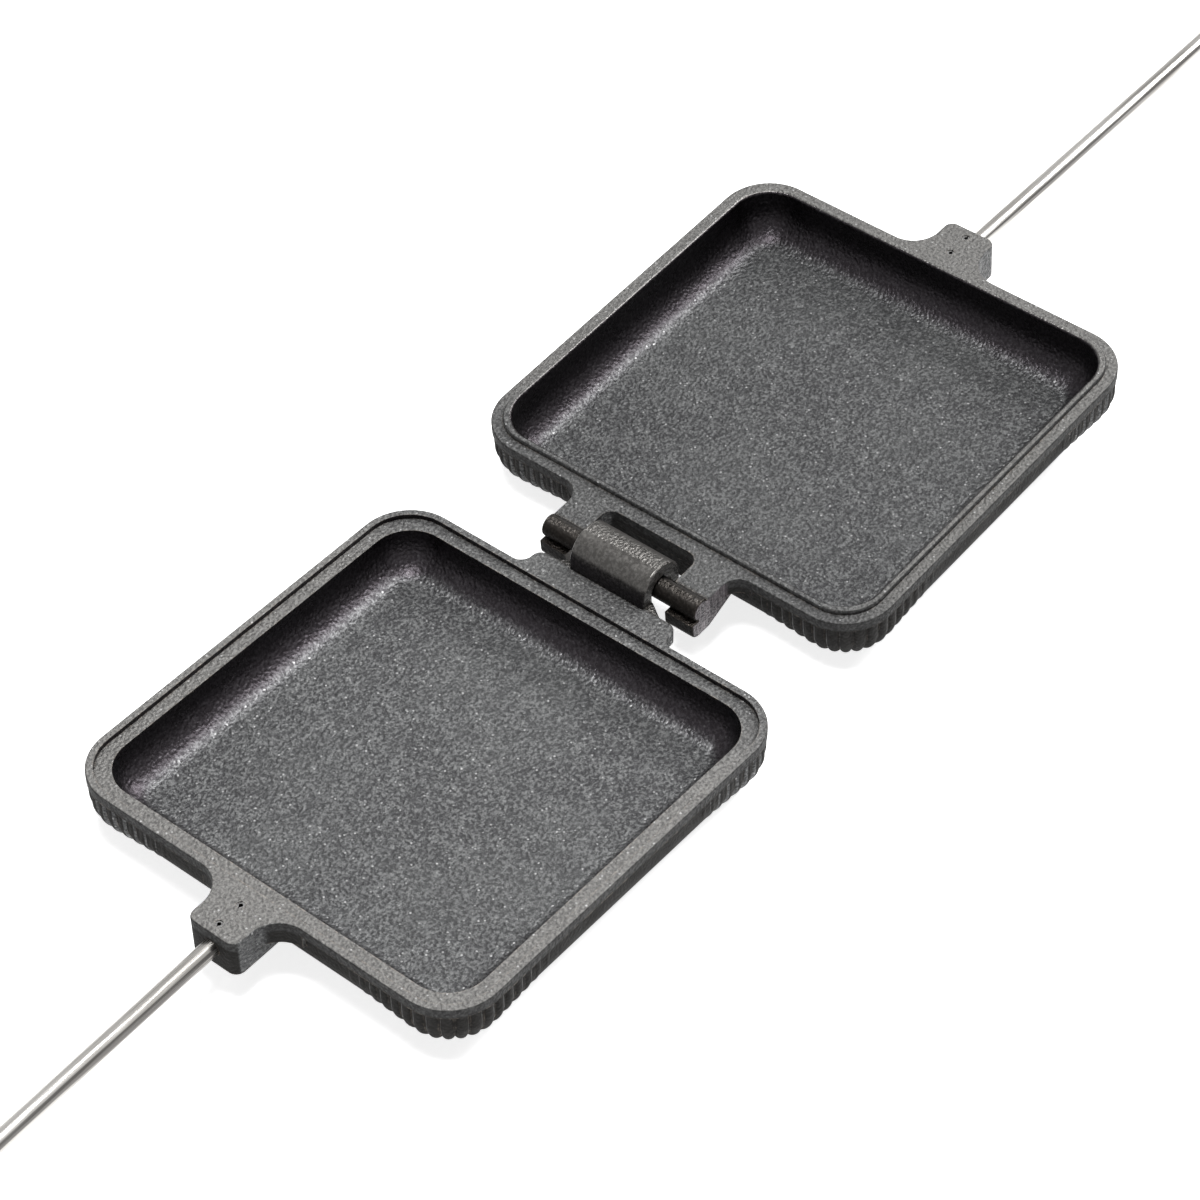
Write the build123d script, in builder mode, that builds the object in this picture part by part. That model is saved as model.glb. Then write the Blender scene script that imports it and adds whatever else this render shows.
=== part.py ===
from build123d import *
from math import asin, atan2, cos, degrees, hypot, radians, sin, tan
import os

# Square cast-iron pie iron: two hooked pans on long steel rods with turned wooden grips.
# Each half is drawn in its own frame: the hinge line is the Y axis, +X runs to the handle and
# +Z leaves the cooking face. The halves are then laid open on the floor, the hook half towards -X.

os.makedirs("parts", exist_ok=True)

# Pan casting, the same on both halves
PAN_LENGTH = 120.8
PAN_WIDTH = 123.0
PAN_DEPTH = 15.5
RIM_BAND_DEPTH = 2.8
RIM_EDGE_ROUND = 0.5
BODY_INSET = 1.0
RIM_CORNER = 14.0
UNDERSIDE_CURVE = 8.5
CAVITY_DEPTH = 12.5
CAVITY_CURVE = 9.5
CAVITY_DRAFT = 3.0
CAVITY_CORNER_MARGIN = 0.4

# Ribs round the corners of the outer wall
FLUTE_RADIUS = 1.6
FLUTE_PROUD = 0.8
FLUTE_PITCH = 3.3
CORNER_FLUTES = 6
SIDE_FLUTES = 6
SIDE_FLUTE_FADE = 0.12
FLUTE_SWEEP = 85.0

# Mating rims: a recess behind a lip on the hook pan, a tongue on the bar pan
LIP_WIDTH = 2.0
RECESS_DEPTH = 1.4
RECESS_WIDTH = 3.4
TONGUE_SIDE_GAP = 1.0
TONGUE_WIDTH = 1.8
TONGUE_HEIGHT = 1.15
TONGUE_EDGE_ROUND = 0.75

# Hinge: a hook on one pan catches a bar on the other
HINGE_REACH = 12.7
BAR_RADIUS = 3.0
BAR_BELOW_FACE = 2.0
CLOSED_FACE_GAP = 0.3
HOOK_CLEARANCE = 0.4
HOOK_WALL = 3.8
HOOK_WIDTH = 23.5
HOOK_TIP_DROP = 3.1
HOOK_EDGE_ROUND = 0.7
HOOK_SHOULDER_REACH = 9.3
HOOK_SHOULDER_WIDTH = 4.5
HOOK_TAB_WIDTH = 44.0
HOOK_TAB_THICKNESS = 4.0
HOOK_TAB_ROOT_ROUND = 3.2
EAR_ROUND = 2.7
EAR_STRAIGHT = 0.4
TAB_ROOT_OVERLAP = 2.0
TAB_ROOT_MARGIN = 0.2
BAR_TAB_WIDTH = 48.6
BAR_TAB_THICKNESS = 4.7
BAR_TAB_ROOT_ROUND = 5.0
TAB_EDGE_ROUND = 0.5
SLOT_LENGTH = 28.6
SLOT_RIM_STRIP = 0.9
SLOT_END_ROUND = 3.2
LUG_WIDTH = 8.5
LUG_FRONT = 4.0
LUG_LEDGE_DROP = 2.5
LUG_DROP = 8.0
LUG_DROP_AT_PAN = 3.4
LUG_TAPER_START = 2.5
LUG_LEDGE_ROUND = 0.8
LUG_TOE_ROUND = 2.7
LUG_EDGE_ROUND = 0.6
HINGE_PAD_WIDTH = 36.0
HINGE_PAD_THICKNESS = 9.0
HINGE_PAD_LIFT = 1.2

# Handle socket, cast on the side opposite the hinge
SOCKET_LENGTH = 13.4
SOCKET_WIDTH = 15.0
SOCKET_HEIGHT = 10.6
SOCKET_END_ROUND = 2.6
SOCKET_EDGE_ROUND = 0.5
SOCKET_ROOT_DEPTH = 4.5
FLARE_ROUND = 8.0
FLARE_THICKNESS = 6.5

# Handle rod and the spring pins that hold it
ROD_DIAMETER = 4.5
ROD_DROOP = 2.5
ROD_EXPOSED = 420.0
ROD_INSERTION = 13.8
SOCKET_CLEARANCE = 0.05
BORE_OVERRUN = 1.0
PIN_DIAMETER = 2.0
PIN_WALL = 0.45
PIN_SLIT = 0.35
PIN_CLEARANCE = 0.02
PIN_BELOW_FACE = 0.2
PIN_FROM_RIM = (3.2, 10.2)

# Wooden grip and its fastening
COLLAR_DIAMETER = 11.0
COLLAR_LENGTH = 6.0
COLLAR_EDGE_ROUND = 1.0
COLLAR_CLEARANCE = 0.02
GRIP_LENGTH = 132.0
GRIP_NECK_RADIUS = 8.6
GRIP_SWELL_RADIUS = 13.5
GRIP_SWELL_AT = 48.0
GRIP_WAIST_RADIUS = 11.6
GRIP_WAIST_AT = 94.0
GRIP_BUTT_RADIUS = 12.3
GRIP_BUTT_SETBACK = 9.0
GRIP_END_RADIUS = 9.4
GRIP_BORE_CLEARANCE = 0.1
WASHER_DIAMETER = 15.0
WASHER_THICKNESS = 1.2
NUT_ACROSS_FLATS = 8.0
NUT_HEX_HEIGHT = 4.0
NUT_DOME_RADIUS = 3.6
NUT_BORE_DEPTH = 4.8
NUT_END_GAP = 0.3
NUT_CLEARANCE = 0.05

# Derived sizes of the casting
BODY_CORNER = RIM_CORNER - BODY_INSET
BODY_LENGTH = PAN_LENGTH - 2 * BODY_INSET
BODY_WIDTH = PAN_WIDTH - 2 * BODY_INSET
CURVE_CENTRE_Z = UNDERSIDE_CURVE - PAN_DEPTH
CAVITY_DRAFT_RUN = CAVITY_DEPTH * tan(radians(CAVITY_DRAFT))
CAVITY_CORNER = CAVITY_CURVE + CAVITY_DRAFT_RUN + CAVITY_CORNER_MARGIN
RECESS_INNER = LIP_WIDTH + RECESS_WIDTH
TONGUE_OUTER = LIP_WIDTH + TONGUE_SIDE_GAP
TONGUE_INNER = TONGUE_OUTER + TONGUE_WIDTH

# Derived places along a half, from the hinge line
HOOK_BORE_RADIUS = BAR_RADIUS + HOOK_CLEARANCE
HOOK_OUTER_RADIUS = HOOK_BORE_RADIUS + HOOK_WALL
HOOK_TAB_REACH = HOOK_TAB_ROOT_ROUND + EAR_STRAIGHT + EAR_ROUND
PAN_CENTRE_X = HINGE_REACH + PAN_LENGTH / 2
HANDLE_RIM_X = HINGE_REACH + PAN_LENGTH
SOCKET_END_X = HANDLE_RIM_X + SOCKET_LENGTH
HOOK_FACE_Z = -(BAR_BELOW_FACE + CLOSED_FACE_GAP)
BAR_FACE_Z = BAR_BELOW_FACE
ROD_BELOW_FACE = SOCKET_HEIGHT / 2

# Derived places along a rod, from the socket's end
COLLAR_AT = ROD_EXPOSED
GRIP_AT = COLLAR_AT + COLLAR_LENGTH
WASHER_AT = GRIP_AT + GRIP_LENGTH
NUT_AT = WASHER_AT + WASHER_THICKNESS
ROD_END_AT = NUT_AT + NUT_BORE_DEPTH - NUT_END_GAP
GRIP_TOUCH_AT = GRIP_AT + GRIP_SWELL_AT


def grip_centre(face_z):
    """Centre of the grip's widest turn in its half's frame."""
    run = GRIP_TOUCH_AT * cos(radians(ROD_DROOP))
    drop = GRIP_TOUCH_AT * sin(radians(ROD_DROOP))
    return SOCKET_END_X + run, face_z - ROD_BELOW_FACE - drop


def tilt_to_touch(rise_z, run_x, drop):
    """Angle that turns the arm (run_x, rise_z) about the hinge until it ends at height drop."""
    return degrees(asin(drop / hypot(run_x, rise_z)) - atan2(rise_z, run_x))


# The hook half stands on the curve below its hinge side and on its grip
hook_curve_x = HINGE_REACH + BODY_INSET + UNDERSIDE_CURVE
hook_curve_z = HOOK_FACE_Z + CURVE_CENTRE_Z
hook_grip_x, hook_grip_z = grip_centre(HOOK_FACE_Z)
hook_tilt = tilt_to_touch(
    hook_grip_z - hook_curve_z, hook_grip_x - hook_curve_x, GRIP_SWELL_RADIUS - UNDERSIDE_CURVE
)
hinge_height = UNDERSIDE_CURVE - (
    hook_curve_x * sin(radians(hook_tilt)) + hook_curve_z * cos(radians(hook_tilt))
)

# The bar half hangs in the hook and stands on its grip
bar_grip_x, bar_grip_z = grip_centre(BAR_FACE_Z)
bar_tilt = tilt_to_touch(bar_grip_z, bar_grip_x, GRIP_SWELL_RADIUS - hinge_height)

HOOK_SIDE = Location((0, 0, hinge_height), (0, 0, 180)) * Location((0, 0, 0), (0, -hook_tilt, 0))
BAR_SIDE = Location((0, 0, hinge_height), (0, -bar_tilt, 0))


def rounded_plan(inset, corner, mode=Mode.ADD):
    """The pan's plan outline, drawn inwards from the rim by inset."""
    return RectangleRounded(PAN_LENGTH - 2 * inset, PAN_WIDTH - 2 * inset, corner, mode=mode)


# One rib: it follows the wall down and round the curve to the underside
flute_depth = FLUTE_RADIUS - FLUTE_PROUD
with BuildPart() as flute:
    with BuildLine(Plane.XZ) as flute_path:
        Line((-flute_depth, -RIM_BAND_DEPTH / 2), (-flute_depth, CURVE_CENTRE_Z))
        CenterArc((-UNDERSIDE_CURVE, CURVE_CENTRE_Z), UNDERSIDE_CURVE - flute_depth, 0, -FLUTE_SWEEP)
    with BuildSketch(Plane((-flute_depth, 0, -RIM_BAND_DEPTH / 2), z_dir=(0, 0, -1))):
        Circle(FLUTE_RADIUS)
    sweep(path=flute_path.wires()[0])

# Ribs round one corner, spread over its arc and fading out along both sides
corner_x = BODY_LENGTH / 2 - BODY_CORNER
corner_y = BODY_WIDTH / 2 - BODY_CORNER
arc_places = []
for turn in range(CORNER_FLUTES):
    angle = 90 * (turn + 0.5) / CORNER_FLUTES
    arc_places.append(Location((corner_x, corner_y, 0), (0, 0, angle)) * Pos(BODY_CORNER, 0, 0))
side_places = []
for step in range(SIDE_FLUTES):
    along = FLUTE_PITCH * (step + 0.5)
    fade = SIDE_FLUTE_FADE * step
    side_places.append(Location((BODY_LENGTH / 2 - fade, corner_y - along, fade)))
    side_places.append(Location((corner_x - along, BODY_WIDTH / 2 - fade, fade), (0, 0, 90)))
with BuildPart() as corner_flutes:
    with Locations(*arc_places, *side_places):
        add(flute.part)

# The dish without its cavity: rim band, curved body and fluted corners
with BuildPart() as dish:
    with BuildSketch():
        rounded_plan(BODY_INSET, BODY_CORNER)
    extrude(amount=-PAN_DEPTH)
    fillet(dish.faces().sort_by(Axis.Z)[0].edges(), UNDERSIDE_CURVE)
    add(corner_flutes.part)
    mirror(corner_flutes.part, about=Plane.YZ)
    mirror(corner_flutes.part, about=Plane.XZ)
    # The corner diagonally opposite takes both mirrors
    mirror(mirror(corner_flutes.part, about=Plane.YZ, mode=Mode.PRIVATE), about=Plane.XZ)
    split(bisect_by=Plane.XY.offset(-PAN_DEPTH), keep=Keep.TOP)
    with BuildSketch():
        rounded_plan(0, RIM_CORNER)
    extrude(amount=-RIM_BAND_DEPTH)
    fillet(dish.faces().sort_by(Axis.Z)[-1].edges(), RIM_EDGE_ROUND)


def cavity_form(inset):
    """The cooking hollow, drafted and rounded into its floor, with its mouth at Z = 0."""
    with BuildPart() as form:
        with BuildSketch():
            rounded_plan(inset, CAVITY_CORNER)
        extrude(amount=-CAVITY_DEPTH, taper=CAVITY_DRAFT)
        fillet(form.faces().sort_by(Axis.Z)[0].edges(), CAVITY_CURVE)
    return form.part


def rod_plane(face_z):
    """Plane across the rod where it leaves the socket, its normal along the rod."""
    origin = (SOCKET_END_X, 0, face_z - ROD_BELOW_FACE)
    return Plane(origin, x_dir=(0, 1, 0), z_dir=(cos(radians(ROD_DROOP)), 0, -sin(radians(ROD_DROOP))))


def socket_casting(face_z):
    """Handle socket with its flared root, without its bore."""
    with BuildPart() as casting:
        with BuildSketch(Plane.XY.offset(face_z)) as flare:
            with Locations(((HANDLE_RIM_X + SOCKET_END_X) / 2, 0)):
                Rectangle(SOCKET_LENGTH, SOCKET_WIDTH)
            with Locations((HANDLE_RIM_X - TAB_ROOT_OVERLAP / 2, 0)):
                Rectangle(TAB_ROOT_OVERLAP, SOCKET_WIDTH + 2 * FLARE_ROUND + TAB_ROOT_MARGIN)
            inner = flare.vertices().group_by(Axis.X)[1].sort_by(Axis.Y)[1:3]
            fillet(inner, FLARE_ROUND)
            fillet(flare.vertices().group_by(Axis.X)[-1], SOCKET_END_ROUND)
        extrude(amount=-FLARE_THICKNESS)
        with BuildSketch(Plane.XY.offset(face_z)) as block:
            with Locations(((HANDLE_RIM_X - SOCKET_ROOT_DEPTH + SOCKET_END_X) / 2, 0)):
                Rectangle(SOCKET_LENGTH + SOCKET_ROOT_DEPTH, SOCKET_WIDTH)
            fillet(block.vertices().group_by(Axis.X)[-1], SOCKET_END_ROUND)
        extrude(amount=-SOCKET_HEIGHT)
        outside = casting.edges().filter_by_position(Axis.X, HANDLE_RIM_X, SOCKET_END_X)
        fillet(outside.group_by(Axis.Z)[-1], SOCKET_EDGE_ROUND)
    return casting.part


def socket_bores(face_z):
    """The rod's bore and the two pin holes, as one form to cut away."""
    with BuildPart() as bores:
        with BuildSketch(rod_plane(face_z).offset(-ROD_INSERTION - SOCKET_CLEARANCE)):
            Circle(ROD_DIAMETER / 2 + SOCKET_CLEARANCE)
        extrude(amount=ROD_INSERTION + BORE_OVERRUN)
        with BuildSketch(Plane.XY.offset(face_z + BORE_OVERRUN)):
            with Locations(*[(HANDLE_RIM_X + reach, 0) for reach in PIN_FROM_RIM]):
                Circle(PIN_DIAMETER / 2 + PIN_CLEARANCE)
        extrude(amount=-(SOCKET_HEIGHT + 2 * BORE_OVERRUN))
    return bores.part


# Tab on the hook pan: two ears and, between them, the nose that carries the hook
with BuildPart() as hook_tab:
    with BuildSketch(Plane.XY.offset(HOOK_FACE_Z)) as hook_tab_plan:
        with Locations((HINGE_REACH - HOOK_TAB_REACH / 2, 0)):
            Rectangle(HOOK_TAB_REACH, HOOK_TAB_WIDTH)
        with Locations((HINGE_REACH + TAB_ROOT_OVERLAP / 2, 0)):
            Rectangle(TAB_ROOT_OVERLAP, HOOK_TAB_WIDTH + 2 * HOOK_TAB_ROOT_ROUND + TAB_ROOT_MARGIN)
        fillet(hook_tab_plan.vertices().group_by(Axis.X)[1].sort_by(Axis.Y)[1:3], HOOK_TAB_ROOT_ROUND)
        fillet(hook_tab_plan.vertices().group_by(Axis.X)[0], EAR_ROUND)
        with BuildLine():
            Polyline(
                (HINGE_REACH - HOOK_SHOULDER_REACH, HOOK_WIDTH / 2),
                (HINGE_REACH - HOOK_TAB_REACH, HOOK_WIDTH / 2 + HOOK_SHOULDER_WIDTH),
                (HINGE_REACH - HOOK_TAB_REACH, -HOOK_WIDTH / 2 - HOOK_SHOULDER_WIDTH),
                (HINGE_REACH - HOOK_SHOULDER_REACH, -HOOK_WIDTH / 2),
                close=True,
            )
        make_face()
        with Locations(((HOOK_BORE_RADIUS + HINGE_REACH) / 2, 0)):
            Rectangle(HINGE_REACH - HOOK_BORE_RADIUS, HOOK_WIDTH)
    extrude(amount=-HOOK_TAB_THICKNESS)
    hook_tab_outside = hook_tab.edges().filter_by_position(Axis.X, 0, HINGE_REACH)
    fillet(hook_tab_outside.group_by(Axis.Z)[-1], TAB_EDGE_ROUND)

# The hook curls over the hinge line and ends in a rounded tip
hook_leg_base = HOOK_FACE_Z - HOOK_TAB_THICKNESS / 2
with BuildPart() as hook:
    with BuildSketch(Plane.XZ):
        with BuildLine():
            Line((HOOK_OUTER_RADIUS, hook_leg_base), (HOOK_OUTER_RADIUS, 0))
            CenterArc((0, 0), HOOK_OUTER_RADIUS, 0, 180)
            Line((-HOOK_OUTER_RADIUS, 0), (-HOOK_OUTER_RADIUS, -HOOK_TIP_DROP))
            RadiusArc(
                (-HOOK_OUTER_RADIUS, -HOOK_TIP_DROP),
                (-HOOK_BORE_RADIUS, -HOOK_TIP_DROP),
                -HOOK_WALL / 2,
            )
            Line((-HOOK_BORE_RADIUS, -HOOK_TIP_DROP), (-HOOK_BORE_RADIUS, 0))
            CenterArc((0, 0), HOOK_BORE_RADIUS, 0, 180)
            Line((HOOK_BORE_RADIUS, 0), (HOOK_BORE_RADIUS, hook_leg_base))
            Line((HOOK_BORE_RADIUS, hook_leg_base), (HOOK_OUTER_RADIUS, hook_leg_base))
        make_face()
    extrude(amount=HOOK_WIDTH / 2, both=True)
    for cheek_face in (hook.faces().sort_by(Axis.Y)[0], hook.faces().sort_by(Axis.Y)[-1]):
        crown = [
            edge
            for edge in cheek_face.edges()
            if hypot(edge.center().X, edge.center().Z) > HOOK_OUTER_RADIUS - HOOK_EDGE_ROUND / 2
        ]
        fillet(crown, HOOK_EDGE_ROUND)

with BuildPart() as hook_pan:
    with Locations((PAN_CENTRE_X, 0, HOOK_FACE_Z)):
        add(dish.part)
    add(socket_casting(HOOK_FACE_Z))
    add(hook_tab.part)
    add(hook.part)
    with BuildSketch(Plane.XY.offset(HOOK_FACE_Z)):
        with Locations((PAN_CENTRE_X, 0)):
            rounded_plan(LIP_WIDTH, RIM_CORNER - LIP_WIDTH)
    extrude(amount=-RECESS_DEPTH, mode=Mode.SUBTRACT)
    with Locations((PAN_CENTRE_X, 0, HOOK_FACE_Z)):
        add(cavity_form(RECESS_INNER), mode=Mode.SUBTRACT)
    add(socket_bores(HOOK_FACE_Z), mode=Mode.SUBTRACT)

# Tab on the bar pan: a slotted plate, a round bar along its edge and a lug below each bar end
slot_reach = HINGE_REACH - SLOT_RIM_STRIP
with BuildPart() as bar_tab:
    with BuildSketch(Plane.XY.offset(BAR_FACE_Z)) as bar_tab_plan:
        with Locations((HINGE_REACH / 2, 0)):
            Rectangle(HINGE_REACH, BAR_TAB_WIDTH)
        with Locations((HINGE_REACH + TAB_ROOT_OVERLAP / 2, 0)):
            Rectangle(TAB_ROOT_OVERLAP, BAR_TAB_WIDTH + 2 * BAR_TAB_ROOT_ROUND + TAB_ROOT_MARGIN)
        fillet(bar_tab_plan.vertices().group_by(Axis.X)[1].sort_by(Axis.Y)[1:3], BAR_TAB_ROOT_ROUND)
        with BuildSketch(mode=Mode.SUBTRACT) as slot:
            with Locations((slot_reach / 2, 0)):
                Rectangle(slot_reach, SLOT_LENGTH)
            fillet(slot.vertices().group_by(Axis.X)[-1], SLOT_END_ROUND)
    extrude(amount=-BAR_TAB_THICKNESS)
    bar_tab_sides = bar_tab.edges().filter_by_position(Axis.X, 0, HINGE_REACH)
    slot_side = SLOT_LENGTH / 2 + TAB_EDGE_ROUND
    bar_tab_sides = [edge for edge in bar_tab_sides if abs(edge.center().Y) > slot_side]
    fillet(ShapeList(bar_tab_sides).group_by(Axis.Z)[-1], TAB_EDGE_ROUND)
    with BuildSketch(Plane.XZ):
        Circle(BAR_RADIUS)
    extrude(amount=SLOT_LENGTH / 2 + TAB_ROOT_OVERLAP, both=True)

# Each end of the bar rests on a lug that runs back to the pan as a tapering web
with BuildPart() as lug:
    with BuildSketch(Plane.XZ.offset(-(BAR_TAB_WIDTH - LUG_WIDTH) / 2)) as lug_side:
        with BuildLine():
            Polyline(
                (-LUG_FRONT, -LUG_LEDGE_DROP),
                (-LUG_FRONT, -LUG_DROP),
                (LUG_TAPER_START, -LUG_DROP),
                (HINGE_REACH + TAB_ROOT_OVERLAP, -LUG_DROP_AT_PAN),
                (HINGE_REACH + TAB_ROOT_OVERLAP, 0),
                (0, 0),
                (0, -LUG_LEDGE_DROP),
                close=True,
            )
        make_face()
        front = lug_side.vertices().group_by(Axis.X)[0].sort_by(Axis.Z)
        fillet(front[0], LUG_TOE_ROUND)
        fillet(front[-1], LUG_LEDGE_ROUND)
        fillet(lug_side.vertices().group_by(Axis.Z)[0].sort_by(Axis.X)[-1], LUG_TOE_ROUND)
        Circle(BAR_RADIUS)
    extrude(amount=LUG_WIDTH / 2, both=True)
    end_outline = lug.faces().sort_by(Axis.Y)[-1].edges()
    fillet(end_outline.filter_by_position(Axis.X, -HINGE_REACH, HINGE_REACH), LUG_EDGE_ROUND)

# The wall behind the bar is flat and upright below the tab
with BuildPart() as hinge_pad:
    with BuildSketch(Plane.XY.offset(BAR_FACE_Z)):
        with Locations((HINGE_REACH + BODY_INSET + HINGE_PAD_THICKNESS / 2, 0)):
            Rectangle(HINGE_PAD_THICKNESS, HINGE_PAD_WIDTH)
    extrude(amount=HINGE_PAD_LIFT - PAN_DEPTH)
    fillet(hinge_pad.faces().sort_by(Axis.X)[0].edges().group_by(Axis.Z)[:-1], HINGE_PAD_LIFT)

with BuildPart() as bar_pan:
    with Locations((PAN_CENTRE_X, 0, BAR_FACE_Z)):
        add(dish.part)
    add(socket_casting(BAR_FACE_Z))
    add(bar_tab.part)
    add(lug.part)
    mirror(lug.part, about=Plane.XZ)
    add(hinge_pad.part)
    with BuildSketch(Plane.XY.offset(BAR_FACE_Z)):
        with Locations((PAN_CENTRE_X, 0)):
            rounded_plan(TONGUE_OUTER, RIM_CORNER - TONGUE_OUTER)
            rounded_plan(TONGUE_INNER, CAVITY_CORNER, mode=Mode.SUBTRACT)
    extrude(amount=TONGUE_HEIGHT)
    fillet(bar_pan.faces().sort_by(Axis.Z)[-1].edges(), TONGUE_EDGE_ROUND)
    with Locations((PAN_CENTRE_X, 0, BAR_FACE_Z)):
        add(cavity_form(TONGUE_INNER), mode=Mode.SUBTRACT)
    add(socket_bores(BAR_FACE_Z), mode=Mode.SUBTRACT)


def handle_rod(face_z):
    """Rod, cross-drilled for its pins."""
    with BuildPart() as rod:
        with BuildSketch(rod_plane(face_z).offset(-ROD_INSERTION)):
            Circle(ROD_DIAMETER / 2)
        extrude(amount=ROD_INSERTION + ROD_END_AT)
        with BuildSketch(Plane.XY.offset(face_z)):
            with Locations(*[(HANDLE_RIM_X + reach, 0) for reach in PIN_FROM_RIM]):
                Circle(PIN_DIAMETER / 2 + PIN_CLEARANCE)
        extrude(amount=-SOCKET_HEIGHT, mode=Mode.SUBTRACT)
    return rod.part


def rod_pins(face_z):
    """Two slit spring pins, one behind the other."""
    with BuildPart() as pins:
        with BuildSketch(Plane.XY.offset(face_z - PIN_BELOW_FACE)):
            with Locations(*[(HANDLE_RIM_X + reach, 0) for reach in PIN_FROM_RIM]):
                Circle(PIN_DIAMETER / 2)
                Circle(PIN_DIAMETER / 2 - PIN_WALL, mode=Mode.SUBTRACT)
            with Locations(*[(HANDLE_RIM_X + reach + PIN_DIAMETER / 2, 0) for reach in PIN_FROM_RIM]):
                Rectangle(PIN_DIAMETER, PIN_SLIT, mode=Mode.SUBTRACT)
        extrude(amount=-(SOCKET_HEIGHT - 2 * PIN_BELOW_FACE))
    return pins.part


def grip_collar(face_z):
    """Steel collar that stops the grip from sliding up the rod."""
    with BuildPart() as collar:
        with BuildSketch(rod_plane(face_z).offset(COLLAR_AT)):
            Circle(COLLAR_DIAMETER / 2)
        extrude(amount=COLLAR_LENGTH)
        fillet(collar.edges().filter_by(GeomType.CIRCLE).sort_by(Axis.X)[0], COLLAR_EDGE_ROUND)
        with BuildSketch(rod_plane(face_z).offset(COLLAR_AT)):
            Circle(ROD_DIAMETER / 2 + COLLAR_CLEARANCE)
        extrude(amount=COLLAR_LENGTH, mode=Mode.SUBTRACT)
    return collar.part


def wooden_grip(face_z):
    """Turned grip, swelling in the palm and again at the butt."""
    across = rod_plane(face_z).offset(GRIP_AT)
    along = Plane(across.origin, x_dir=across.x_dir, z_dir=across.y_dir)
    bore = ROD_DIAMETER / 2 + GRIP_BORE_CLEARANCE
    with BuildPart() as grip:
        with BuildSketch(along):
            with BuildLine():
                Line((bore, 0), (GRIP_NECK_RADIUS, 0))
                Spline(
                    (GRIP_NECK_RADIUS, 0),
                    (GRIP_SWELL_RADIUS, -GRIP_SWELL_AT),
                    (GRIP_WAIST_RADIUS, -GRIP_WAIST_AT),
                    (GRIP_BUTT_RADIUS, GRIP_BUTT_SETBACK - GRIP_LENGTH),
                    (GRIP_END_RADIUS, -GRIP_LENGTH),
                    tangents=[(1, -2), (0, -1), (0, -1), (0, -1), (-1, -1)],
                )
                Line((GRIP_END_RADIUS, -GRIP_LENGTH), (bore, -GRIP_LENGTH))
                Line((bore, -GRIP_LENGTH), (bore, 0))
            make_face()
        revolve(axis=Axis(across.origin, across.z_dir))
    return grip.part


def grip_washer(face_z):
    """Flat washer between the grip and its nut."""
    with BuildPart() as washer:
        with BuildSketch(rod_plane(face_z).offset(WASHER_AT)):
            Circle(WASHER_DIAMETER / 2)
            Circle(ROD_DIAMETER / 2 + GRIP_BORE_CLEARANCE, mode=Mode.SUBTRACT)
        extrude(amount=WASHER_THICKNESS)
    return washer.part


def grip_nut(face_z):
    """Domed cap nut on the rod's end."""
    seat = rod_plane(face_z).offset(NUT_AT)
    with BuildPart() as nut:
        with BuildSketch(seat):
            RegularPolygon(NUT_ACROSS_FLATS / 2, 6, major_radius=False)
        extrude(amount=NUT_HEX_HEIGHT)
        with Locations(seat.offset(NUT_HEX_HEIGHT).location):
            Sphere(NUT_DOME_RADIUS)
        with BuildSketch(seat):
            Circle(ROD_DIAMETER / 2 + NUT_CLEARANCE)
        extrude(amount=NUT_BORE_DEPTH, mode=Mode.SUBTRACT)
    return nut.part


hook_pan.part.label = "hook_pan"
hook_pan.part.move(HOOK_SIDE)
export_step(hook_pan.part, "parts/hook_pan.step")

bar_pan.part.label = "bar_pan"
bar_pan.part.move(BAR_SIDE)
export_step(bar_pan.part, "parts/bar_pan.step")

HANDLE_PIECES = {
    "rod": handle_rod,
    "rod_pins": rod_pins,
    "grip_collar": grip_collar,
    "grip": wooden_grip,
    "grip_washer": grip_washer,
    "grip_nut": grip_nut,
}
for side, place, side_face_z in (("hook", HOOK_SIDE, HOOK_FACE_Z), ("bar", BAR_SIDE, BAR_FACE_Z)):
    for piece_name, make_piece in HANDLE_PIECES.items():
        piece = make_piece(side_face_z)
        piece.label = f"{side}_{piece_name}"
        piece.move(place)
        export_step(piece, f"parts/{piece.label}.step")
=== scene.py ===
from math import radians

import bmesh
import bpy
from mathutils import Matrix, Vector


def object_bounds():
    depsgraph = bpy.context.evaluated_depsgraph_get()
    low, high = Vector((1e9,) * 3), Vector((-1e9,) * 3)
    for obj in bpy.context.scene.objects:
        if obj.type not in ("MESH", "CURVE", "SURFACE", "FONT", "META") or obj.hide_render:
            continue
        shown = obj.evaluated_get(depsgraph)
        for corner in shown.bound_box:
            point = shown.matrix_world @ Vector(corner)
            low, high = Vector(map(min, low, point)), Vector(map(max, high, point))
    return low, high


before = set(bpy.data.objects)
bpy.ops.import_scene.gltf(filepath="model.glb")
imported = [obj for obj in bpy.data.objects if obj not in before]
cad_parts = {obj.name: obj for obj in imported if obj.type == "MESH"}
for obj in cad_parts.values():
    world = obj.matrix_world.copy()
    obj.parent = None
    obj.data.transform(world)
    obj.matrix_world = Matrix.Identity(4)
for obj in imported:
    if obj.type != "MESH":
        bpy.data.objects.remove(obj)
cad_low, cad_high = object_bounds()

# The halves' own frames: the hinge line is the Y axis, +X runs to the handle, Z = 0 is the cooking face
HINGE_HEIGHT = 0.0169034
HOOK_TILT = 2.29536
BAR_TILT = 1.89888
HOOK_FACE = -0.0023
BAR_FACE = 0.0020
PAN_CENTRE = 0.0731
ROD_START = 0.1469
ROD_BELOW_FACE = 0.0053
ROD_DROOP = 2.5
# How far the hook and the bar reach along their halves before the grey tabs begin
HINGE_CASTING_END = {"hook": 0.0068, "bar": 0.0026}

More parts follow.
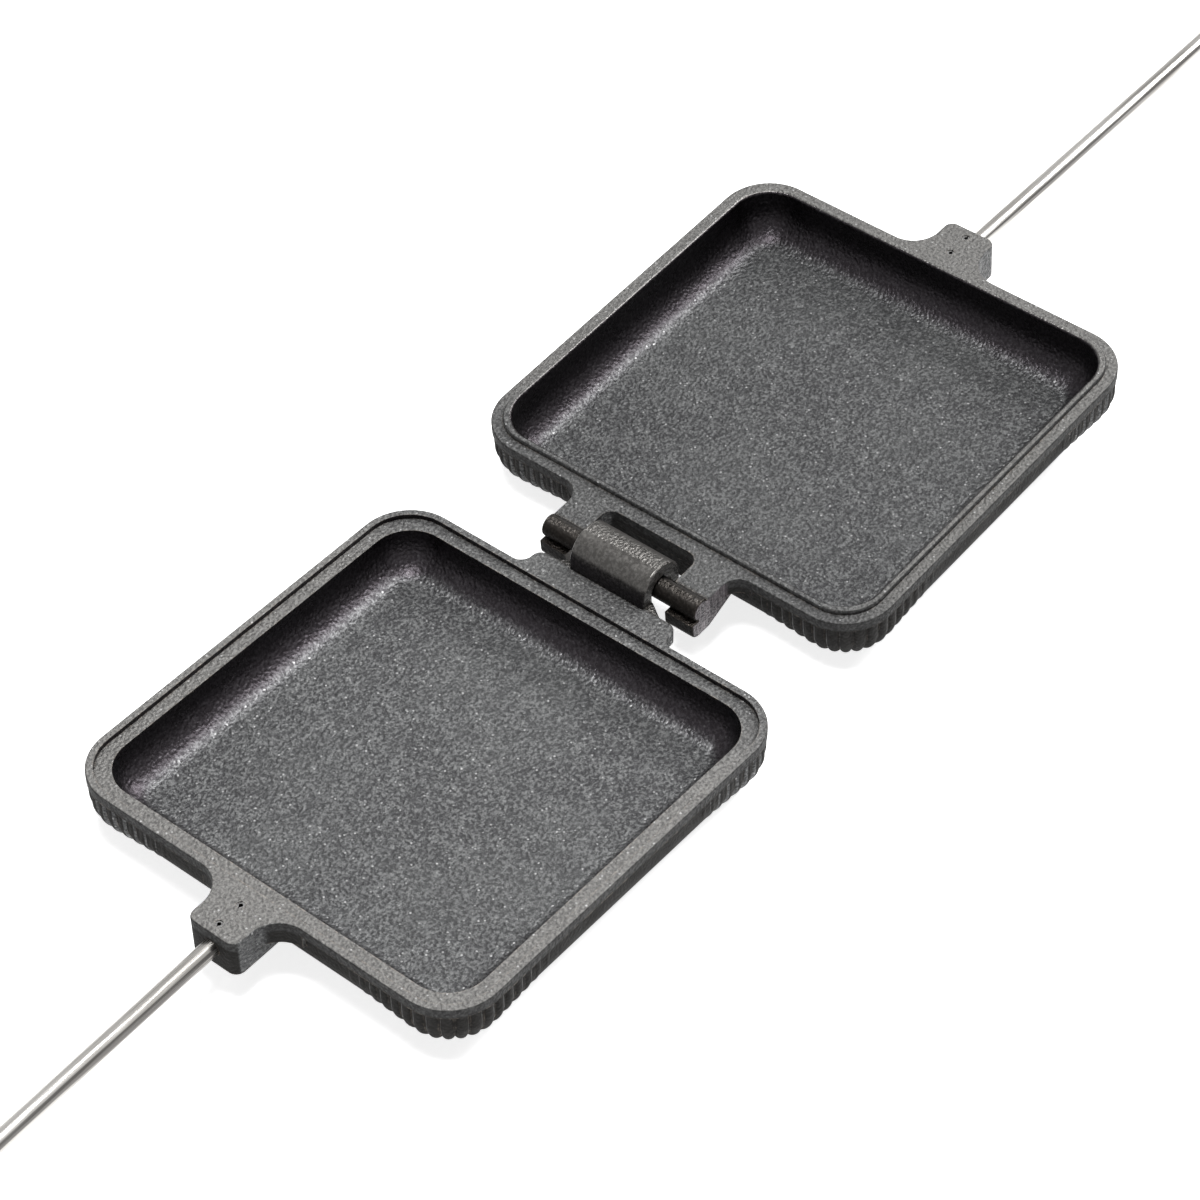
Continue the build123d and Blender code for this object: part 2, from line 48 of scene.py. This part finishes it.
RAISE_HINGE = Matrix.Translation((0, 0, HINGE_HEIGHT))
FACE_ABOUT = Matrix.Rotation(radians(180), 4, "Z")
HOOK_HALF = RAISE_HINGE @ FACE_ABOUT @ Matrix.Rotation(radians(-HOOK_TILT), 4, "Y")
BAR_HALF = RAISE_HINGE @ Matrix.Rotation(radians(-BAR_TILT), 4, "Y")
# Share of the iron's brightness that is kept: painted shade, the bar half's iron is drawn darker than the
# hook half's
SHADE = {"hook": 1.0, "bar": 0.78}
HALVES = {"hook": (HOOK_HALF, HOOK_FACE), "bar": (BAR_HALF, BAR_FACE)}


def pan_frame(side):
    """Matrix that places a pan: origin on the hinge line at the height of the cooking face."""
    half, face = HALVES[side]
    return half @ Matrix.Translation((0, 0, face))


def rod_frame(side):
    """Matrix that places a rod: origin where it leaves the socket, +X along the rod."""
    start = Matrix.Translation((ROD_START, 0, -ROD_BELOW_FACE))
    return pan_frame(side) @ start @ Matrix.Rotation(radians(ROD_DROOP), 4, "Y")


class Nodes:
    """A node tree whose nodes are added one by one and linked by their inputs."""

    def __init__(self, tree):
        self.tree = tree

    def set(self, node, inputs):
        for key, value in inputs.items():
            socket = node.inputs[key]
            if isinstance(value, bpy.types.NodeSocket):
                self.tree.links.new(value, socket)
            else:
                socket.default_value = value

    def node(self, kind, inputs=None, **settings):
        made = self.tree.nodes.new("ShaderNode" + kind)
        for key, value in settings.items():
            setattr(made, key, value)
        self.set(made, inputs or {})
        return made

    def math(self, operation, a, b=0.0, clamp=False):
        return self.node("Math", {0: a, 1: b}, operation=operation, use_clamp=clamp).outputs[0]

    def place(self, matrix, stretch=(1, 1, 1)):
        """Object coordinates read in the frame that matrix places, then stretched along its axes."""
        inverse = matrix.inverted()
        here = self.node("TexCoord").outputs["Object"]
        turned = self.node(
            "Mapping",
            {"Vector": here, "Location": inverse.translation, "Rotation": inverse.to_euler("XYZ")},
        ).outputs[0]
        if stretch == (1, 1, 1):
            return turned
        return self.node("Mapping", {"Vector": turned, "Scale": stretch}).outputs[0]

    def noise(self, vector, scale, detail, roughness):
        return self.node(
            "TexNoise",
            {"Vector": vector, "Scale": scale, "Detail": detail, "Roughness": roughness},
        ).outputs["Fac"]

    def ramp(self, value, low, high, to_low=0.0, to_high=1.0, smooth=True):
        return self.node(
            "MapRange",
            {"Value": value, "From Min": low, "From Max": high, "To Min": to_low, "To Max": to_high},
            interpolation_type="SMOOTHSTEP" if smooth else "LINEAR",
        ).outputs["Result"]

    def mix(self, factor, a, b):
        made = self.node("Mix", data_type="RGBA")
        self.set(made, {0: factor, 6: a, 7: b})
        return made.outputs[2]

    def bump(self, height, distance, normal=None):
        inputs = {"Height": height, "Distance": distance, "Strength": 1.0}
        if normal is not None:
            inputs["Normal"] = normal
        return self.node("Bump", inputs).outputs["Normal"]

    def edges(self, width, low, high):
        """1 on sharp edges and 0 elsewhere, from how far a rounded normal leaves the true one."""
        soft = self.node("Bevel", {"Radius": width}, samples=4).outputs["Normal"]
        true = self.node("NewGeometry").outputs["True Normal"]
        same = self.node("VectorMath", {0: soft, 1: true}, operation="DOT_PRODUCT").outputs["Value"]
        return self.ramp(same, high, low)


class Material(Nodes):
    """A Principled material with the node helpers."""

    def __init__(self, name):
        self.data = bpy.data.materials.new(name)
        self.data.use_nodes = True
        super().__init__(self.data.node_tree)
        self.shader = self.tree.nodes["Principled BSDF"]


def rgba(red, green, blue):
    return (red, green, blue, 1.0)


# Film and metal tones of the hook and the bar, which are darker than the pans
HINGE_TONES = {
    "hook": (rgba(0.068, 0.065, 0.062), rgba(0.110, 0.106, 0.101)),
    "bar": (rgba(0.030, 0.026, 0.023), rgba(0.050, 0.044, 0.040)),
}


GRAIN_SCALE = 1250
PIT_SCALE = 1100
TIP_AND_GLINT_SCALE = 1000
GRAIN_HEIGHT = 0.00095
WAVE_HEIGHT = 0.00015
WORN_EDGE = 0.0008
PAINTED_SHADE_REACH = 0.0025


def seasoned_iron(side):
    """Sand-cast iron under baked-on seasoning: stippled, sleek on the cavity walls, worn at its edges."""
    m = Material(f"seasoned_iron_{side}")
    here = m.place(pan_frame(side))
    along, across, z = m.node("SeparateXYZ", {"Vector": here}).outputs
    coordinates = m.node("TexCoord").outputs
    centre = pan_frame(side) @ Vector((PAN_CENTRE, 0, 0))
    outward = m.node("VectorMath", {0: coordinates["Object"], 1: centre}, operation="SUBTRACT").outputs[0]
    outward = m.node("VectorMath", {0: outward, 1: (1, 1, 0)}, operation="MULTIPLY").outputs[0]
    turned_out = {0: coordinates["Normal"], 1: outward}
    facing = m.node("VectorMath", turned_out, operation="DOT_PRODUCT").outputs["Value"]
    on_curve = m.ramp(facing, -0.002, -0.021)
    on_wall = m.ramp(facing, -0.007, -0.034)
    on_outside = m.ramp(facing, 0.028, 0.046)
    _, normal_y, normal_z = m.node("SeparateXYZ", {"Vector": coordinates["Normal"]}).outputs
    on_rim = m.math("MULTIPLY", m.ramp(normal_z, 0.70, 0.95), m.ramp(z, -0.0030, -0.0020))
    hinge_end = HINGE_CASTING_END[side]
    on_hinge = m.ramp(along, hinge_end + 0.0006, hinge_end - 0.0006)

    # Sand texture: fine ridges, rounded pits between them and a few raised tips, which also carry painted
    # glints
    patches = m.noise(here, 28, 3, 0.55)
    mottle = m.noise(here, 170, 3, 0.6)
    ridges = m.noise(here, GRAIN_SCALE, 4, 0.62)
    pits = m.node(
        "TexVoronoi", {"Vector": here, "Scale": PIT_SCALE, "Smoothness": 0.3}, feature="SMOOTH_F1"
    ).outputs["Distance"]
    tip_and_glint_cells = m.node("TexVoronoi", {"Vector": here, "Scale": TIP_AND_GLINT_SCALE}, feature="F1")
    chosen = m.node("SeparateColor", {"Color": tip_and_glint_cells.outputs["Color"]}).outputs[0]
    raised_tip_and_glint = m.math("MULTIPLY", m.ramp(chosen, 0.86, 0.95), m.ramp(tip_and_glint_cells.outputs["Distance"], 0.40, 0.15))
    pitted = m.math("MULTIPLY", pits, 0.45)
    crest = m.math("SUBTRACT", m.ramp(ridges, 0.36, 0.66, 0, 1.25), pitted, clamp=True)

    # Seasoned film in the hollows, greyer metal on the crests
    film = m.mix(m.ramp(patches, 0.35, 0.68), rgba(0.047, 0.047, 0.049), rgba(0.066, 0.067, 0.068))
    metal = m.mix(m.ramp(mottle, 0.35, 0.66), rgba(0.138, 0.140, 0.141), rgba(0.180, 0.183, 0.183))
    # Cavity walls: the smoother, purple-tinged film of the walls, drawn dark partly as painted shade
    film = m.mix(on_wall, film, rgba(0.0250, 0.0220, 0.0245))
    metal = m.mix(on_wall, metal, rgba(0.044, 0.040, 0.044))
    film_at_hinge, metal_at_hinge = HINGE_TONES[side]
    film = m.mix(on_hinge, film, film_at_hinge)
    metal = m.mix(on_hinge, metal, metal_at_hinge)
    tone = m.mix(crest, film, metal)
    # Painted shade: the outer walls are darkened, most of all below the rim band
    painted_shade_below_band = m.math("MULTIPLY", on_outside, m.ramp(z, -0.0020, -0.0030, 0.55, 0.95))
    tone = m.mix(painted_shade_below_band, tone, rgba(0.014, 0.013, 0.012))

    # Rims rubbed by the other pan, most of all away from the hinge
    bare = m.math("MULTIPLY", on_rim, m.ramp(along, 0.012, 0.040, 0.12, 0.62))
    bare = m.math("MULTIPLY", bare, m.ramp(ridges, 0.40, 0.58, 0.60, 1.0))
    tone = m.mix(bare, tone, rgba(0.232, 0.225, 0.213))
    smooth_skin = m.math("MAXIMUM", on_wall, on_hinge)
    # Painted glints: pale dots on the raised tips, weak on the cavity walls and hinge, none on the outer
    # walls
    raised_tip_and_glint = m.math("MULTIPLY", raised_tip_and_glint, m.ramp(smooth_skin, 0, 1, 0.65, 0.06))
    raised_tip_and_glint = m.math("MULTIPLY", raised_tip_and_glint, m.ramp(on_outside, 0, 1, 1.0, 0.0))
    tone = m.mix(raised_tip_and_glint, tone, rgba(0.55, 0.55, 0.55))
    edge = m.edges(WORN_EDGE, 0.80, 0.97)
    rubbed = m.math("MULTIPLY", edge, m.ramp(m.noise(here, 620, 4, 0.7), 0.42, 0.62), clamp=True)
    rubbed = m.math("MULTIPLY", rubbed, m.ramp(patches, 0.30, 0.60, 0.15, 0.65))
    rubbed = m.math("MULTIPLY", rubbed, m.ramp(on_hinge, 0, 1, 1.0, 0.40))
    tone = m.mix(rubbed, tone, rgba(0.330, 0.280, 0.235))

    # The sides of the bar's tab are ground: upright scratches, blued by the heat
    if side == "bar":
        upright = m.ramp(m.math("ABSOLUTE", normal_y), 0.90, 0.97)
        on_side = m.math("MULTIPLY", upright, m.ramp(along, 0.016, 0.010))
        on_side = m.math("MULTIPLY", on_side, m.ramp(m.math("ABSOLUTE", across), 0.020, 0.022))
        scratches = m.noise(m.place(pan_frame(side), (1, 1, 0.08)), 1900, 3, 0.7)
        ground = m.mix(m.ramp(scratches, 0.35, 0.65), rgba(0.030, 0.026, 0.030), rgba(0.180, 0.160, 0.170))
        tone = m.mix(on_side, tone, ground)

    # Painted shade: crevices, grooves and the recess beside the lip are darkened by ambient occlusion
    open_sky = m.node("AmbientOcclusion", {"Distance": PAINTED_SHADE_REACH}, samples=4).outputs["AO"]
    tone = m.mix(m.ramp(open_sky, 0.75, 0.25, 0.0, 0.75), tone, rgba(0.008, 0.007, 0.006))
    # Painted shade: the bar half's iron darkened to its SHADE share
    tone = m.mix(1 - SHADE[side], tone, rgba(0, 0, 0))
    sleek = m.math("MAXIMUM", on_curve, on_hinge)
    metallic = m.ramp(sleek, 0, 1, 0.42, 1.0, smooth=False)
    gloss = m.ramp(mottle, 0.30, 0.70, 0.40, 0.50)
    gloss = m.math("SUBTRACT", gloss, m.math("MULTIPLY", sleek, 0.15))
    uneven = m.math("MULTIPLY", m.math("SUBTRACT", ridges, 0.5), 0.20)
    gloss = m.math("ADD", gloss, uneven, clamp=True)
    gloss = m.math("ADD", gloss, m.ramp(on_outside, 0, 1, 0.0, 0.35), clamp=True)

    # Relief: full on the floors and rims, shallow on the cavity walls, hinge and outer walls
    depth = m.ramp(on_curve, 0, 1, 0.95, 0.20)
    depth = m.math("SUBTRACT", depth, m.math("MULTIPLY", on_hinge, 0.38), clamp=True)
    depth = m.math("MULTIPLY", depth, m.ramp(on_outside, 0, 1, 1.0, 0.40))
    height = m.math("SUBTRACT", m.math("MULTIPLY", ridges, 0.8), m.math("MULTIPLY", pits, 0.5))
    height = m.math("MULTIPLY", m.math("ADD", height, m.math("MULTIPLY", raised_tip_and_glint, 0.25)), depth)
    waves = m.bump(mottle, WAVE_HEIGHT)
    m.set(
        m.shader,
        {
            "Base Color": tone,
            "Metallic": metallic,
            "Roughness": gloss,
            "Normal": m.bump(height, GRAIN_HEIGHT, waves),
            "Specular IOR Level": 0.2,
        },
    )
    return m.data


def bright_steel(side):
    """Drawn and plated rod: long fine scratches, darker where the plating is thin, and long dark lines
    painted on as reflections.
    """
    m = Material(f"bright_steel_{side}")
    along = m.place(rod_frame(side), (0.03, 1, 1))
    streaks = m.noise(along, 1700, 3, 0.6)
    painted_reflection_lines = m.noise(m.place(rod_frame(side), (0.012, 1, 1)), 620, 2, 0.5)
    blotch = m.noise(m.place(rod_frame(side), (0.3, 1, 1)), 90, 3, 0.6)
    tone = m.mix(m.ramp(blotch, 0.35, 0.7), rgba(0.33, 0.318, 0.30), rgba(0.46, 0.448, 0.428))
    # Painted reflections: long dark lines along the rod
    tone = m.mix(m.ramp(painted_reflection_lines, 0.48, 0.62, 0.0, 0.85), tone, rgba(0.08, 0.076, 0.072))
    m.set(
        m.shader,
        {
            "Base Color": tone,
            "Metallic": 1.0,
            "Roughness": m.ramp(streaks, 0.3, 0.7, 0.16, 0.34),
            "Normal": m.bump(streaks, 0.00002),
        },
    )
    return m.data


def turned_steel(name, side, tone_low, tone_high):
    """Plated steel with turning marks round the rod."""
    m = Material(f"{name}_{side}")
    turned = m.noise(m.place(rod_frame(side), (1, 0.12, 0.12)), 2600, 2, 0.5)
    blotch = m.noise(m.place(rod_frame(side)), 240, 3, 0.6)
    edge = m.edges(0.0004, 0.80, 0.96)
    tone = m.mix(m.ramp(blotch, 0.35, 0.68), tone_low, tone_high)
    tone = m.mix(m.math("MULTIPLY", edge, 0.6), tone, rgba(0.82, 0.82, 0.82))
    m.set(
        m.shader,
        {
            "Base Color": tone,
            "Metallic": 1.0,
            "Roughness": m.ramp(turned, 0.3, 0.7, 0.24, 0.42),
            "Normal": m.bump(turned, 0.00002),
        },
    )
    return m.data


def hardwood(side):
    """Turned beech under satin varnish: growth rings cut lengthwise, fine pores and lighter edges."""
    m = Material(f"hardwood_{side}")
    here = m.place(rod_frame(side))
    rings = m.place(rod_frame(side), (0.10, 1.0, 0.55))
    sway = m.noise(rings, 55, 3, 0.5)
    band = m.node(
        "TexWave",
        {"Vector": rings, "Scale": 90, "Distortion": 3.2, "Detail": 2.0, "Detail Scale": 1.2},
        wave_type="BANDS",
        bands_direction="Z",
        wave_profile="SAW",
    ).outputs["Fac"]
    fibre = m.noise(m.place(rod_frame(side), (0.05, 1, 1)), 1500, 3, 0.6)
    pores = m.noise(m.place(rod_frame(side), (0.12, 1, 1)), 2600, 1, 0.4)
    tone = m.mix(m.ramp(band, 0.1, 0.95), rgba(0.47, 0.265, 0.125), rgba(0.32, 0.160, 0.068))
    tone = m.mix(m.ramp(sway, 0.35, 0.70, 0.0, 0.5), tone, rgba(0.54, 0.325, 0.165))
    tone = m.mix(m.ramp(fibre, 0.40, 0.75, 0.0, 0.45), tone, rgba(0.25, 0.118, 0.048))
    tone = m.mix(m.ramp(pores, 0.63, 0.70, 0.0, 0.7), tone, rgba(0.13, 0.058, 0.024))
    edge = m.edges(0.0012, 0.80, 0.97)
    tone = m.mix(m.math("MULTIPLY", edge, 0.45), tone, rgba(0.60, 0.40, 0.22))
    wear = m.noise(here, 45, 3, 0.6)
    height = m.math("SUBTRACT", m.math("MULTIPLY", fibre, 0.4), m.ramp(pores, 0.60, 0.72))
    m.set(
        m.shader,
        {
            "Base Color": tone,
            "Roughness": m.ramp(wear, 0.3, 0.7, 0.30, 0.46),
            "Normal": m.bump(height, 0.00006),
            "Coat Weight": 0.25,
            "Coat Roughness": 0.22,
        },
    )
    return m.data


for side in HALVES:
    zinc = turned_steel("zinc_steel", side, rgba(0.50, 0.51, 0.53), rgba(0.66, 0.67, 0.69))
    spring = turned_steel("spring_steel", side, rgba(0.10, 0.097, 0.093), rgba(0.22, 0.215, 0.21))
    finishes = {
        "pan": seasoned_iron(side),
        "rod": bright_steel(side),
        "rod_pins": spring,
        "grip_collar": zinc,
        "grip": hardwood(side),
        "grip_washer": zinc,
        "grip_nut": zinc,
    }
    for piece, finish in finishes.items():
        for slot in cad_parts[f"{side}_{piece}"].material_slots:
            slot.material = finish


# Floor: pale, brought to white for the camera and for reflections, and still taking the shadow
FLOOR_HALF = 3.0
FLOOR_GLOW = 0.78
SKY_DIFFUSE = 0.18
floor_shape = bmesh.new()
bmesh.ops.create_grid(floor_shape, x_segments=1, y_segments=1, size=FLOOR_HALF)
bmesh.ops.translate(floor_shape, verts=floor_shape.verts, vec=(0, 0, cad_low.z))
floor_mesh = bpy.data.meshes.new("floor")
floor_shape.to_mesh(floor_mesh)
floor_shape.free()
floor = bpy.data.objects.new("floor", floor_mesh)
bpy.context.scene.collection.objects.link(floor)
paper = Material("pale_floor")


def seen_directly(nodes):
    """1 for camera, mirror and see-through rays, and 0 for the rays that carry diffuse light."""
    path = nodes.node("LightPath").outputs
    direct = nodes.math("MAXIMUM", path["Is Camera Ray"], path["Is Glossy Ray"])
    return nodes.math("MAXIMUM", direct, path["Is Transmission Ray"])


paper.set(
    paper.shader,
    {
        "Base Color": rgba(0.86, 0.86, 0.86),
        "Roughness": 0.9,
        "Emission Color": rgba(1, 1, 1),
        "Emission Strength": paper.math("MULTIPLY", seen_directly(paper), FLOOR_GLOW),
    },
)
floor_mesh.materials.append(paper.data)

# World: white to look at, dimmer as a source of diffuse light
world = bpy.data.worlds.new("studio")
bpy.context.scene.world = world
world.use_nodes = True
sky = Nodes(world.node_tree)
strength = sky.ramp(seen_directly(sky), 0, 1, SKY_DIFFUSE, 1.0, smooth=False)
sky.set(sky.tree.nodes["Background"], {"Color": rgba(1, 1, 1), "Strength": strength})


def softbox(name, place, size, power):
    """Rectangular lamp that faces the hinge."""
    data = bpy.data.lights.new(name, "AREA")
    data.shape = "RECTANGLE"
    data.size, data.size_y = size
    data.energy = power
    lamp = bpy.data.objects.new(name, data)
    lamp.location = place
    lamp.rotation_euler = (-Vector(place)).to_track_quat("-Z", "Y").to_euler()
    bpy.context.scene.collection.objects.link(lamp)


softbox("overhead_softbox", (-0.10, -0.05, 0.95), (0.30, 0.30), 8.5)
softbox("band_softbox", (0.62, -0.30, 1.00), (0.36, 0.50), 7.5)
softbox("low_softbox", (1.35, -0.35, 0.90), (0.50, 0.50), 19.0)

# Camera at a long focal length, as if held above the hook half's far side
CAMERA_PLACE = Vector((-0.457932, -0.400372, 0.651046))
CAMERA_RIGHT = Vector((0.635350, -0.771309, -0.037589))
CAMERA_DOWN = Vector((-0.578578, -0.443225, -0.684689))
LENS = 107.33

camera_data = bpy.data.cameras.new("camera")
camera_data.lens = LENS
camera_data.sensor_width = 36.0
camera_data.clip_start = 0.05
camera_data.clip_end = 20.0
camera = bpy.data.objects.new("camera", camera_data)
axes = Matrix((CAMERA_RIGHT, -CAMERA_DOWN, CAMERA_RIGHT.cross(-CAMERA_DOWN))).transposed()
camera.matrix_world = Matrix.Translation(CAMERA_PLACE) @ axes.to_4x4()
bpy.context.scene.collection.objects.link(camera)
bpy.context.scene.camera = camera
bpy.context.scene.view_settings.view_transform = "Standard"
